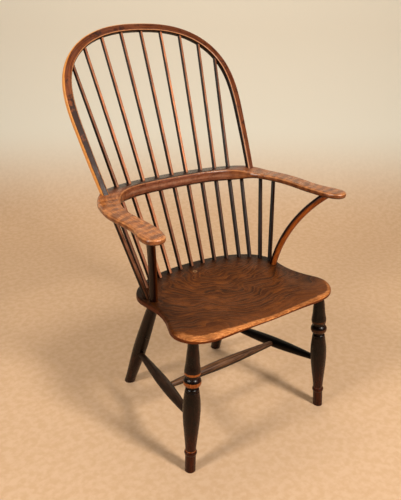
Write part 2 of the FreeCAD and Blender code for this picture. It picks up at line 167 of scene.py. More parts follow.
def panel(name, place, aim, width, height, power):
    """A rectangular lamp that faces a point, with its power in watts."""
    data = bpy.data.lights.new(name, "AREA")
    data.shape = "RECTANGLE"
    data.size = width
    data.size_y = height
    data.energy = power
    data.color = lamp_colour
    lamp = bpy.data.objects.new(name, data)
    bpy.context.scene.collection.objects.link(lamp)
    lamp.location = place
    lamp.rotation_euler = (Vector(aim) - Vector(place)).to_track_quat("-Z", "Y").to_euler()


above_seat = (0, 0, 0.5)
panel("key_panel", (0.5, -2.5, 2.3), above_seat, width=0.5, height=0.7, power=92)
panel("left_panel", (-2.6, -0.3, 2.2), above_seat, width=0.6, height=0.7, power=58)
panel("wall_panel", (0.7, 0.9, 3.6), (1.4, 2.6, 1.3), width=2.4, height=0.8, power=34)

# %% [markdown]
# Node groups are to a material what a jig is to a chairmaker: made once, used on every stick.
#
# Small helpers keep the building short. The first adds a node and fills its sockets. The others
# are single steps of arithmetic.

# %% Helpers for nodes
def add(tree, kind, inputs=None, **settings):
    """Adds a node, sets its settings, and fills its inputs with values or links."""
    made = tree.nodes.new("ShaderNode" + kind)
    for name, value in settings.items():
        setattr(made, name, value)
    for socket, value in (inputs or {}).items():
        if isinstance(value, bpy.types.NodeSocket):
            tree.links.new(value, made.inputs[socket])
        else:
            made.inputs[socket].default_value = value
    return made


def maths(tree, operation, first, second=0.0, clamp=False):
    """One arithmetic step, as a socket."""
    return add(tree, "Math", {0: first, 1: second}, operation=operation, use_clamp=clamp).outputs[0]


def times(tree, first, second, clamp=False):
    """The product of two values, as a socket."""
    return maths(tree, "MULTIPLY", first, second, clamp)


def ramp(tree, value, low, high, start=0.0, end=1.0):
    """Smooth step from start to end while the value goes from low to high."""
    sockets = {"Value": value, "From Min": low, "From Max": high, "To Min": start, "To Max": end}
    return add(tree, "MapRange", sockets, interpolation_type="SMOOTHSTEP").outputs["Result"]


def vector_maths(tree, operation, first, second=(0, 0, 0), result="Vector"):
    """One step of arithmetic on vectors, as a socket."""
    return add(tree, "VectorMath", {0: first, 1: second}, operation=operation).outputs[result]


def parts(tree, vector):
    """The X, Y and Z of a vector, as sockets."""
    return add(tree, "SeparateXYZ", {0: vector}).outputs


def noise(tree, vector, scale, detail, roughness, result="Fac"):
    """Cloudy noise around 0.5, as a socket. A larger scale makes smaller grains."""
    sockets = {"Vector": vector, "Scale": scale, "Detail": detail, "Roughness": roughness}
    return add(tree, "TexNoise", sockets).outputs[result]


print("helpers made: add, maths, times, ramp, vector_maths, parts, noise")

# %% [markdown]
# A finish is built in layers: a colour, and over it a paint wherever a mask says. The masks come
# from where a point lies and from which way the surface looks.

# %% Helpers for masks and colours
def window(tree, value, low, high, soft):
    """1 while the value is between low and high, with a smooth step on both sides."""
    rise = ramp(tree, value, low - soft, low + soft)
    fall = ramp(tree, value, high - soft, high + soft, 1.0, 0.0)
    return times(tree, rise, fall)


def towards(tree, direction):
    """How far the surface faces a direction, from -1 to 1."""
    normal = add(tree, "NewGeometry").outputs["Normal"]
    return vector_maths(tree, "DOT_PRODUCT", normal, Vector(direction).normalized(), "Value")


def blend(tree, share, first, second):
    """Mixes two colours, each a socket or four numbers. They are a Mix node's inputs 6 and 7."""
    return add(tree, "Mix", {0: share, 6: first, 7: second}, data_type="RGBA").outputs[2]


def cover(tree, colour, mask, share, paint):
    """Lays a paint over a colour where a mask says, at most by a share."""
    return blend(tree, times(tree, mask, share), colour, paint)


def rgb(red, green, blue):
    """A screen colour of 0 to 255, turned into the light that a shader needs."""
    return tuple((value / 255) ** 2.2 for value in (red, green, blue)) + (1.0,)


print("a grey of 128, as light:", round(rgb(128, 128, 128)[0], 3))

# %% [markdown]
# A group is opened with its inputs, closed with its results, and used like any other node.

# %% Helpers for groups
def new_group(name, inputs):
    """An empty group that takes a Vector and more inputs, with the values that they start from."""
    tree = bpy.data.node_groups.new(name, "ShaderNodeTree")
    for label, value in {"Vector": (0, 0, 0), **inputs}.items():
        kind = "NodeSocketFloat" if isinstance(value, float) else "NodeSocketVector"
        tree.interface.new_socket(label, in_out="INPUT", socket_type=kind).default_value = value
    return tree, tree.nodes.new("NodeGroupInput").outputs


def give(tree, results):
    """Closes a group: makes its outputs and links the results to them."""
    for label, result in results.items():
        kind = "NodeSocketVector" if result.type == "VECTOR" else "NodeSocketFloat"
        tree.interface.new_socket(label, in_out="OUTPUT", socket_type=kind)
    outputs = tree.nodes.new("NodeGroupOutput").inputs
    for label, result in results.items():
        tree.links.new(result, outputs[label])
    print("nodes in the group", tree.name + ":", len(tree.nodes))


def use(tree, group, inputs):
    """Places a group in a material and returns its outputs."""
    return add(tree, "Group", inputs, node_tree=group).outputs


print("groups before the first:", len(bpy.data.node_groups))

# %% [markdown]
# Wood fibres are long streaks. A noise texture makes them when it is squeezed across the stick
# and pulled out lengthwise, and a second, finer one makes the open pores. The group wants its Z
# axis along the grain, so that every stick can bring its own direction.

# %% Group: fibre
fibre, fibre_in = new_group("fibre", {"Streak Size": 0.002, "Stretch": 18.0, "Seed": 0.0})


def stretched_noise(size_share, stretch_share, detail, rough):
    """Noise with a share of the streak size across and a share of the stretch along Z."""
    across = maths(fibre, "DIVIDE", 1.0, times(fibre, fibre_in["Streak Size"], size_share))
    along = maths(fibre, "DIVIDE", across, times(fibre, fibre_in["Stretch"], stretch_share))
    scale = add(fibre, "CombineXYZ", {"X": across, "Y": across, "Z": along}).outputs[0]
    moved = vector_maths(fibre, "MULTIPLY", fibre_in["Vector"], scale)
    sockets = {"Vector": moved, "W": fibre_in["Seed"], "Scale": 1.0, "Detail": detail,
               "Roughness": rough}
    return add(fibre, "TexNoise", sockets, noise_dimensions="4D").outputs["Fac"]


streaks = ramp(fibre, stretched_noise(1.0, 1.0, detail=4.0, rough=0.6), 0.32, 0.68)
pores = ramp(fibre, stretched_noise(0.45, 0.7, detail=1.0, rough=0.4), 0.60, 0.72)
give(fibre, {"Streaks": streaks, "Pores": pores})

# %% [markdown]
# Polish wears off first where a form stands proud, and never along a clean line. The group takes
# a plain measure of how exposed a point is, from 0 to 1, breaks its border up with noise, and
# gives a soft ragged mask. Each material works out its own measure: the height on a turned leg,
# the way the surface faces on a bow, and the distance from the front edge on the seat.

# %% Group: rubbed
rubbed, rubbed_in = new_group("rubbed", {
    "Exposure": 0.0, "Start": 0.5, "End": 0.9, "Ragged": 0.3, "Patch Size": 0.012})
patch_scale = maths(rubbed, "DIVIDE", 1.0, rubbed_in["Patch Size"])
patches = noise(rubbed, rubbed_in["Vector"], patch_scale, detail=5.0, roughness=0.62)
uneven = times(rubbed, maths(rubbed, "SUBTRACT", patches, 0.5), rubbed_in["Ragged"])
exposed = maths(rubbed, "ADD", rubbed_in["Exposure"], times(rubbed, uneven, 2.0))
give(rubbed, {"Mask": ramp(rubbed, exposed, rubbed_in["Start"], rubbed_in["End"])})

# %% [markdown]
# Old wax holds dust and handling dirt. It lies in broad clouds, and it makes the polish duller
# where it is thick. So the same clouds can darken a colour and raise its roughness.

# %% Group: grime
grime, grime_in = new_group("grime", {"Cloud Size": 0.05})
cloud_scale = maths(grime, "DIVIDE", 1.0, grime_in["Cloud Size"])
cloud = noise(grime, grime_in["Vector"], cloud_scale, detail=4.0, roughness=0.55)
give(grime, {"Cloud": ramp(grime, cloud, 0.35, 0.65)})

# %% [markdown]
# A bent stick needs grain that bends with it.
#
# The bows were steamed and pulled round a former, so their fibres run all the way round. The
# picture of a bow from its own side is a U: two legs and a squarish half circle. This group turns
# a point into bow coordinates: how far it is from the middle of the U (constant along the
# stick), how far it is along the stick, and its thickness. Fed into the fibre group, straight
# streaks come out bent.

# %% Group: bent stick
bent, bent_in = new_group("bent stick", {"Half Width": 0.27, "Crown": 0.2, "Squareness": 2.4})
bent_split = parts(bent, bent_in["Vector"])
aside = maths(bent, "ABSOLUTE", bent_split["X"])
beyond_legs = maths(bent, "MAXIMUM", bent_split["Y"], 0.0)
on_legs = maths(bent, "MAXIMUM", times(bent, bent_split["Y"], -1.0), 0.0)


def powered(value, size):
    """A share of a size, raised to the squareness."""
    return maths(bent, "POWER", maths(bent, "DIVIDE", value, bent_in[size]), bent_in["Squareness"])


round_sum = maths(bent, "ADD", powered(aside, "Half Width"), powered(beyond_legs, "Crown"))
inverse_power = maths(bent, "DIVIDE", 1.0, bent_in["Squareness"])
across_stick = times(bent, maths(bent, "POWER", round_sum, inverse_power), bent_in["Half Width"])
turned = maths(bent, "ARCTAN2", bent_split["X"], maths(bent, "ADD", beyond_legs, 0.0001))
arc = times(bent, turned, bent_in["Half Width"])
signed_leg = times(bent, on_legs, maths(bent, "SIGN", bent_split["X"]))
along_stick = maths(bent, "ADD", arc, signed_leg)
bow_sockets = {"X": across_stick, "Y": bent_split["Z"], "Z": along_stick}
give(bent, {"Vector": add(bent, "CombineXYZ", bow_sockets).outputs[0]})

# %% [markdown]
# Elm is known by its figure: nested arches and curls where the saw, and later the saddling, cut
# through the growth rings.
#
# A ring is a distance from the heart of the tree. The group measures that distance, bends it with
# slow noise as a real trunk is bent, and turns it into bands with a sawtooth. Each band grows
# paler outwards until a thin dark edge of late wood ends it, and finer dark lines run between the
# edges. Old polish never shows rings evenly, so patches of noise hide the dark edges in places.

# %% Group: elm rings
elm, elm_in = new_group("elm rings", {"Ring Width": 0.006, "Waviness": 0.03})


def wandered(vector, scale, share):
    """Moves a vector by noise of a given scale, by a share of the waviness."""
    slow = noise(elm, elm_in["Vector"], scale, detail=2.5, roughness=0.5, result="Color")
    centred = vector_maths(elm, "SUBTRACT", slow, (0.5, 0.5, 0.5))
    size = times(elm, elm_in["Waviness"], share)
    moved = add(elm, "VectorMath", {0: centred, "Scale": size}, operation="SCALE").outputs[0]
    return vector_maths(elm, "ADD", vector, moved)


bent_rings = wandered(wandered(elm_in["Vector"], 5.0, 1.0), 20.0, 0.16)
heart = parts(elm, bent_rings)
square = maths(elm, "ADD", times(elm, heart["X"], heart["X"]), times(elm, heart["Y"], heart["Y"]))
ring_count = maths(elm, "DIVIDE", maths(elm, "SQRT", square), elm_in["Ring Width"])
saw = maths(elm, "FRACT", ring_count)
edge = times(elm, ramp(elm, saw, 0.40, 0.80), ramp(elm, saw, 0.84, 1.0, 1.0, 0.0))
hidden = noise(elm, elm_in["Vector"], 26.0, detail=3.0, roughness=0.6)
fine_saw = maths(elm, "FRACT", times(elm, ring_count, 3.0))
fine = times(elm, ramp(elm, fine_saw, 0.5, 0.85), ramp(elm, fine_saw, 0.88, 1.0, 0.45, 0.0))
edges = times(elm, maths(elm, "MAXIMUM", edge, fine), ramp(elm, hidden, 0.32, 0.54))
give(elm, {"Rings": ramp(elm, saw, 0.0, 0.9), "Late Edge": edges})

# %% [markdown]
# Hands have polished wood with a curl in it, and curl shimmers: bands across the grain where the
# fibres rise and dip. The group makes slanting bands along a stick, lets noise push them about,
# and fades them in places, so that no two bands are alike.

# %% Group: curl
curl, curl_in = new_group("curl", {"Spacing": 0.018, "Slant": 0.8})
curl_split = parts(curl, curl_in["Vector"])
push = noise(curl, curl_in["Vector"], 13.0, detail=3.0, roughness=0.55)
slanted = maths(curl, "ADD", curl_split["Z"], times(curl, curl_split["X"], curl_in["Slant"]))
phase = maths(curl, "ADD", maths(curl, "DIVIDE", slanted, curl_in["Spacing"]),
              times(curl, push, 2.6))
wave = maths(curl, "SINE", times(curl, phase, 2 * pi))
places = noise(curl, curl_in["Vector"], 38.0, detail=2.0, roughness=0.5)
faded = ramp(curl, places, 0.34, 0.58, 0.35, 1.0)
give(curl, {"Ripple": times(curl, ramp(curl, wave, -0.9, 0.9), faded)})

# %% [markdown]
# Old wear and painted light both know inside from outside. The outer corner of the hoop is rubbed
# by walls and hands and also carries a painted highlight, and its inner side, between the spindles,
# is painted black as shade. This group says how far a surface looks away from a centre: 1 on the
# outside, 0 on a face seen square, and -1 inside.

# %% Group: outward side
outside, outside_in = new_group("outward side", {"Normal": (0, 0, 0), "Centre": (0, 0, 0)})
from_centre = vector_maths(outside, "SUBTRACT", outside_in["Vector"], outside_in["Centre"])
from_centre = vector_maths(outside, "NORMALIZE", from_centre)
outward = vector_maths(outside, "DOT_PRODUCT", from_centre, outside_in["Normal"], "Value")
give(outside, {"Outward": outward})

# %% [markdown]
# A straight stick has a middle line. To run the grain along it, a material has to know that line,
# and the CAD mesh tells it: the longest direction of its points is the line, and the lowest end is
# the foot. A Mapping node set to Texture then moves the pattern onto the stick, with Z running up
# its middle.

# %% Lines of the straight sticks
def middle_line(name):
    """Foot, direction and length of a straight stick, from its points."""
    points = np.array([vertex.co for vertex in chair_nodes[name].data.vertices])
    centre = (points.max(0) + points.min(0)) / 2
    direction = np.linalg.svd(points - points.mean(0), full_matrices=False)[2][0]
    if direction[2] < 0 or (abs(direction[2]) < 0.1 and direction[0] < 0):
        direction = -direction
    along = (points - centre) @ direction
    end_length = 0.04 * (along.max() - along.min())
    ends = []
    for wanted in (along < along.min() + end_length, along > along.max() - end_length):
        end = points[wanted]
        ends.append(Vector((end.max(0) + end.min(0)) / 2))
    foot, head = ends
    return foot, (head - foot).normalized(), (head - foot).length


def chair_place(tree):
    """A point's place in the chair, in metres from the middle of the floor under it."""
    return add(tree, "TexCoord").outputs["Object"]


def onto_piece(tree, place, origin, turn=(0, 0, 0), stretch=(1, 1, 1)):
    """Moves a pattern to an origin on the piece, and turns and stretches it there."""
    sockets = {"Vector": place, "Location": origin, "Rotation": turn, "Scale": stretch}
    return add(tree, "Mapping", sockets, vector_type="TEXTURE").outputs[0]


def stick_coordinates(tree, name):
    """Coordinates with Z up the middle line of a straight stick and zero at its foot."""
    foot, direction, _ = middle_line(name)
    turn = direction.to_track_quat("Z", "Y").to_euler()
    return onto_piece(tree, chair_place(tree), foot, turn)


print("middle spindle is", round(middle_line("long_spindle_middle")[2], 3), "m long")

# %% [markdown]
# Every wood here ends in the same polish, so one function finishes them all: the colour, a
# roughness that follows the grime, a shallow bump from the fibres, and a thin coat of wax. What
# is the same all over a surface is set on the shader's own sockets.

# %% Helpers for a finish
bump_strength = 0.6
wax_coat_roughness = 0.22


def begin(name):
    """A new material and its node tree, which starts as a plain Principled shader."""
    material = bpy.data.materials.new(name)
    material.use_nodes = True
    return material, material.node_tree


def fibres(tree, place, streak, stretch, seed):
    """Streaks and pores along the Z axis of a place, with streaks of a width in metres."""
    sockets = {"Vector": place, "Streak Size": streak, "Stretch": stretch, "Seed": seed}
    return use(tree, fibre, sockets)


def old_wax(tree, place, cloud_size):
    """Clouds of grime, from 0 where the wood is clean to 1 where the wax lies thick."""
    return use(tree, grime, {"Vector": place, "Cloud Size": cloud_size})["Cloud"]


def rubbed_away(tree, place, exposure, start, end, ragged, patch):
    """A ragged mask that grows from 0 to 1 while the exposure goes from start to end."""
    sockets = {"Vector": place, "Exposure": exposure, "Start": start, "End": end,
               "Ragged": ragged, "Patch Size": patch}
    return use(tree, rubbed, sockets)["Mask"]


def polish(tree, colour, height, wax, smooth, dull, depth, gloss, coat=0.0):
    """Wires a finish into the shader.

    Smooth and dull are the roughness where the wood is clean and where it is grimy. Depth is the
    height of the bump in metres, gloss the strength of the mirror, and coat that of the wax.
    """
    shader = tree.nodes["Principled BSDF"]
    tree.links.new(colour, shader.inputs["Base Color"])
    tree.links.new(ramp(tree, wax, 0.0, 1.0, smooth, dull), shader.inputs["Roughness"])
    bump = add(tree, "Bump", {"Height": height, "Distance": depth, "Strength": bump_strength})
    tree.links.new(bump.outputs[0], shader.inputs["Normal"])
    shader.inputs["Specular IOR Level"].default_value = gloss
    shader.inputs["Coat Weight"].default_value = coat
    shader.inputs["Coat Roughness"].default_value = wax_coat_roughness


def dress(name, material):
    """Gives a CAD node its material."""
    slots = chair_nodes[name].data.materials
    slots.clear()
    slots.append(material)


print("polish: bump strength", bump_strength, "and coat roughness", wax_coat_roughness)

# %% [markdown]
# The spindles were stained almost black. A narrow stripe runs down the front of each, on the side
# that faces the main lamp, and it is painted a warm pinkish brown: partly wear where backs and
# dusters have passed, and partly a painted highlight. A spindle is thin, so the measure of
# exposure is simply which way the surface faces.
#
# One recipe makes all of them. Each stick has its own two shares of wear and painted highlight,
# above and below the arm bow, because the middle of the back is rubbed most and the right-hand
# corner hardly at all. Near the top of the back, above the shoulders, the stripe fades.

# %% Spindles
front_of_stick = (0.2, -0.98, 0.0)
arm_level = 0.66
arm_blur = 0.01
above_shoulders = (0.84, 1.04)
long_wear_and_sheen = (0.60, 0.90, 0.72, 1.0, 0.82, 1.0, 1.0, 0.72, 0.30)
below_arm_wear_and_sheen_left = 0.95
below_arm_wear_and_sheen_right = 0.05
short_wear_and_sheen_left = 0.40
short_wear_and_sheen_right = 0.12
short_above_arm = 0.40
short_tone = 0.85
short_seed = 20


def spindle_wood(name, number, wear, below_arm_wear_and_sheen, tone):
    """Black stain with a stripe of wear and painted highlight, by one share above the arm bow and
    one below.
    """
    material, tree = begin("wood_" + name)
    place = stick_coordinates(tree, name)
    level = parts(tree, chair_place(tree))["Z"]
    grain = fibres(tree, place, streak=0.0014, stretch=30.0, seed=number * 3.7)
    wax = old_wax(tree, place, cloud_size=0.05)
    # The stripe faces the main lamp. It is partly rubbed wear and partly a painted highlight.
    stripe = rubbed_away(tree, place, towards(tree, front_of_stick), start=0.60, end=0.84,
                         ragged=0.10, patch=0.03)
    share = ramp(tree, level, arm_level - arm_blur, arm_level + arm_blur, below_arm_wear_and_sheen, wear)
    share = times(tree, share, ramp(tree, level, *above_shoulders, 1.0, 0.65))
    share = times(tree, share, ramp(tree, wax, 0.0, 1.0, 0.75, 1.1))
    stain = blend(tree, grain["Streaks"], rgb(12, 7, 5), rgb(30, 18, 12))
    bare = blend(tree, grain["Streaks"], rgb(164 * tone, 88 * tone, 54 * tone),
                 rgb(236 * tone, 156 * tone, 108 * tone))
    colour = blend(tree, times(tree, stripe, share, clamp=True), stain, bare)
    colour = cover(tree, colour, grain["Pores"], 0.5, rgb(20, 11, 8))
    polish(tree, colour, grain["Streaks"], wax, smooth=0.36, dull=0.50, depth=0.0002, gloss=0.22)
    dress(name, material)


def middle_x(name):
    """How far a node's middle is to the right."""
    low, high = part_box(name)
    return (low.x + high.x) / 2


left_to_right = sorted(chair_nodes, key=middle_x)
long_spindles = [name for name in left_to_right if "long_spindle" in name]
short_spindles = [name for name in left_to_right if "short_spindle" in name]
for number, (name, wear) in enumerate(zip(long_spindles, long_wear_and_sheen)):
    to_the_right = number / (len(long_spindles) - 1)
    below_arm_wear_and_sheen = below_arm_wear_and_sheen_left - (below_arm_wear_and_sheen_left - below_arm_wear_and_sheen_right) * to_the_right
    spindle_wood(name, number, wear, below_arm_wear_and_sheen, 0.92 + 0.10 * (number % 3))
for number, name in enumerate(short_spindles):
    below_arm_wear_and_sheen = short_wear_and_sheen_left if number < len(short_spindles) / 2 else short_wear_and_sheen_right
    spindle_wood(name, short_seed + number, short_above_arm, below_arm_wear_and_sheen, short_tone)
print("spindles dressed:", len(long_spindles) + len(short_spindles))

# %% [markdown]
# Legs and stretchers are the darkest wood of the chair: near black above, and on the front legs a
# red brown towards the feet, where mops and boots have thinned the stain. Bare orange wood shows
# only where the turning stands proud and thin, on the lip of the vase, the lower half of the bead,
# and the ring. The left front leg has lost its stain there, and the right one hardly at all.
#
# The measures are heights up the leg, because that is how a turner marks a leg out.

# %% Legs
mopped_height = (0.05, 0.17)
band_blur = 0.0015
ring_line = (0.0620, 0.0645)
bead_lower_half = (0.2560, 0.2680)
vase_lip = (0.2860, 0.2930)


def leg_wood(name, number, bare_heights, bare_share, red_share):
    """Black stain that thins to red near the foot, and is rubbed bare between pairs of heights."""
    material, tree = begin("wood_" + name)
    place = stick_coordinates(tree, name)
    height = parts(tree, place)["Z"]
    grain = fibres(tree, place, streak=0.0020, stretch=24.0, seed=number * 2.3)
    wax = old_wax(tree, place, cloud_size=0.05)
    stain = blend(tree, grain["Streaks"], rgb(5, 2, 1), rgb(17, 8, 4))
    reddish = blend(tree, grain["Streaks"], rgb(30, 8, 1), rgb(72, 29, 7))
    low = maths(tree, "ADD", ramp(tree, height, *mopped_height, red_share, 0.0),
                times(tree, wax, 0.2))
    # Painted light: the side of the leg towards the right is painted redder, as the side the light
    # falls on.
    painted_light_right = ramp(tree, towards(tree, (1, -0.3, 0)), -0.2, 0.9, 0.0, 0.45)
    colour = blend(tree, maths(tree, "ADD", low, painted_light_right, clamp=True), stain, reddish)
    bare = blend(tree, grain["Streaks"], rgb(118, 58, 22), rgb(176, 98, 44))
    for low_height, high_height in bare_heights:
        band = window(tree, height, low_height, high_height, band_blur)
        band = rubbed_away(tree, place, band, start=0.45, end=0.95, ragged=0.35, patch=0.012)
        colour = cover(tree, colour, band, bare_share, bare)
    colour = cover(tree, colour, grain["Pores"], 0.5, rgb(12, 7, 5))
    polish(tree, colour, grain["Streaks"], wax, smooth=0.24, dull=0.38, depth=0.0003, gloss=0.13,
           coat=0.22)
    dress(name, material)


for number, name in enumerate(sorted(n for n in chair_nodes if "leg" in n)):
    bare_heights = (ring_line, bead_lower_half, vase_lip) if "front" in name else ()
    bare_share = 0.16 if "right" in name else 0.9
    red_share = 0.9 if "front" in name else 0.3
    leg_wood(name, number, bare_heights, bare_share, red_share)
print("legs dressed:", sum("leg" in name for name in chair_nodes))

# %% [markdown]
# The stretchers are stained like the legs, and feet have rested on them. Dust and scuffs leave
# the top of the cross stretcher a dull mid brown, with the grain showing.

# %% Stretchers
where_feet_rest = (-0.2, -0.5, 0.84)


def stretcher_wood(name, number, dark, pale, gloss):
    """Black stain, scuffed on top to a streaky brown between a dark and a pale colour."""
    material, tree = begin("wood_" + name)
    place = stick_coordinates(tree, name)
    grain = fibres(tree, place, streak=0.0026, stretch=20.0, seed=10 + number * 2.3)
    wax = old_wax(tree, place, cloud_size=0.06)
    top = rubbed_away(tree, place, towards(tree, where_feet_rest), start=0.15, end=0.85,
                      ragged=0.25, patch=0.03)
    stain = blend(tree, grain["Streaks"], rgb(10, 6, 4), rgb(28, 16, 11))
    worn = blend(tree, grain["Streaks"], dark, pale)
    colour = blend(tree, top, stain, worn)
    colour = cover(tree, colour, grain["Pores"], 0.5, rgb(14, 8, 6))
    polish(tree, colour, grain["Streaks"], wax, smooth=0.42, dull=0.56, depth=0.0003, gloss=gloss)
    dress(name, material)


stretcher_wood("cross_stretcher", 0, rgb(54, 34, 22), rgb(116, 80, 54), gloss=0.25)
stretcher_wood("side_stretcher_left", 1, rgb(30, 18, 12), rgb(62, 40, 27), gloss=0.2)
stretcher_wood("side_stretcher_right", 2, rgb(8, 4, 3), rgb(22, 12, 8), gloss=0.15)
print("stretchers dressed:", sum("stretcher" in name for name in chair_nodes))

# %% [markdown]
# The hoop leans back, so its grain is made in its own plane. A Mapping node turns the frame
# upright again: X across the chair, Y up the rake, and Z square to the plane. The hoop's own points
# give the plane.

# %% Plane of the hoop
hoop_low, hoop_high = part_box("back_hoop")
hoop_points = np.array([vertex.co for vertex in chair_nodes["back_hoop"].data.vertices])
hoop_heights = hoop_points[:, 2]
slice_height = 0.02
crown = hoop_points[hoop_heights > hoop_high.z - slice_height].mean(0)
above_arms = (hoop_heights > arm_level) & (hoop_heights < arm_level + slice_height)
leg_part = hoop_points[above_arms].mean(0)
rake = atan2(crown[1] - leg_part[1], crown[2] - leg_part[2])
hoop_length = (crown[2] - leg_part[2]) / cos(rake)
print("hoop leans back", round(rake * 180 / pi, 1), "degrees")

# %% [markdown]
# The face of the hoop is orange brown with dark patches of old polish, thickest low on the
# chair's left. It is darker on the right and at the crown. The outer corner is painted bright,
# partly as rubbed wear and partly as a painted highlight. The inner side is painted black as shade,
# and a thin bright line, partly rubbed wear and partly a painted highlight, divides it from the
# face.

# %% Hoop
shoulder_up = 0.245
hoop_half = (hoop_high.x - hoop_low.x) / 2 - 0.012
crown_up = hoop_length - shoulder_up - 0.002
below_shoulders = 0.02
low_left_across = (-0.16, -0.22)
low_left_height = (0.94, 0.80)
right_across = (-0.02, 0.10)
crown_height = (hoop_high.z - 0.12, hoop_high.z - 0.03)


def hoop_wood():
    """Wood of the hoop, with the grain along its bend."""
    material, tree = begin("wood_back_hoop")
    place = chair_place(tree)
    up_the_rake = Vector((0, sin(rake), cos(rake)))
    origin = Vector((0, leg_part[1], leg_part[2])) + up_the_rake * shoulder_up
    upright = onto_piece(tree, place, origin, (pi / 2 - rake, 0, 0))
    bow = use(tree, bent, {"Vector": upright, "Half Width": hoop_half, "Crown": crown_up,
                           "Squareness": 2.4})["Vector"]
    grain = fibres(tree, bow, streak=0.0022, stretch=34.0, seed=5.1)
    wax = old_wax(tree, bow, cloud_size=0.035)
    split = parts(tree, place)
    normal = add(tree, "NewGeometry").outputs["Normal"]
    outward = use(tree, outside, {"Vector": place, "Normal": normal,
                                  "Centre": origin - up_the_rake * below_shoulders})["Outward"]

    face = blend(tree, grain["Streaks"], rgb(82, 38, 16), rgb(144, 80, 42))
    low_left = times(tree, ramp(tree, split["X"], *low_left_across),
                     ramp(tree, split["Z"], *low_left_height))
    patch_share = maths(tree, "ADD", times(tree, low_left, 0.42), 0.22)
    patchy = rubbed_away(tree, bow, patch_share, start=0.26, end=0.54, ragged=0.9, patch=0.020)
    face = cover(tree, face, patchy, 0.9, rgb(34, 18, 14))
    face = cover(tree, face, ramp(tree, split["X"], *right_across), 0.35, rgb(74, 34, 18))
    face = cover(tree, face, ramp(tree, split["Z"], *crown_height), 0.35, rgb(60, 26, 9))
    # The outer corner is painted bright: partly rubbed wear, partly a painted highlight.
    outer = rubbed_away(tree, bow, outward, start=0.30, end=0.75, ragged=0.25, patch=0.02)
    on_left = ramp(tree, split["X"], 0.12, -0.05, 0.35, 1.0)
    colour = blend(tree, times(tree, outer, on_left), face, rgb(222, 148, 76))
    # A thin bright line on the inner arris: partly rubbed wear, partly a painted highlight.
    line = window(tree, outward, -0.62, -0.22, 0.1)
    line = rubbed_away(tree, bow, line, start=0.35, end=0.9, ragged=0.35, patch=0.03)
    colour = cover(tree, colour, line, 0.75, rgb(206, 140, 92))
    # Painted shade: the inner side of the hoop is painted near black.
    colour = cover(tree, colour, ramp(tree, outward, -0.55, -0.80), 0.98, rgb(14, 7, 4))
    colour = cover(tree, colour, grain["Pores"], 0.5, rgb(36, 18, 10))
    polish(tree, colour, grain["Streaks"], wax, smooth=0.32, dull=0.46, depth=0.0002, gloss=0.25)
    dress("back_hoop", material)


hoop_wood()
print("hoop dressed, half width:", round(hoop_half, 3))

# %% [markdown]
# The arm bow is the part that hands have polished. Its flat arms are rubbed to an orange tan with
# a curl that shimmers across the grain. Its back keeps a redder brown, with a painted highlight
# along the middle. Its lower corner is painted dark as shade, and a black strip of painted shade
# lies on its top behind the hoop. The sides of the arms are painted darker and the underside near
# black, both as shade. The upper corners carry pale lines, partly rubbed wear and partly a
# painted highlight.

# %% Arm bow
bow_low, bow_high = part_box("arm_bow")
bow_half = 0.2840
bow_straight = 0.02
bow_half_thickness = 0.021
bow_crown = bow_high.y - bow_half_thickness - bow_straight
arms_to_back = (0.03, 0.12)
right_arm_across = (0.0, 0.2)
shade_strip = (0.085, 0.125)
paler_height = (bow_low.z + 0.013, bow_high.z - 0.013)
low_corner_height = (bow_low.z + 0.011, bow_low.z + 0.002)


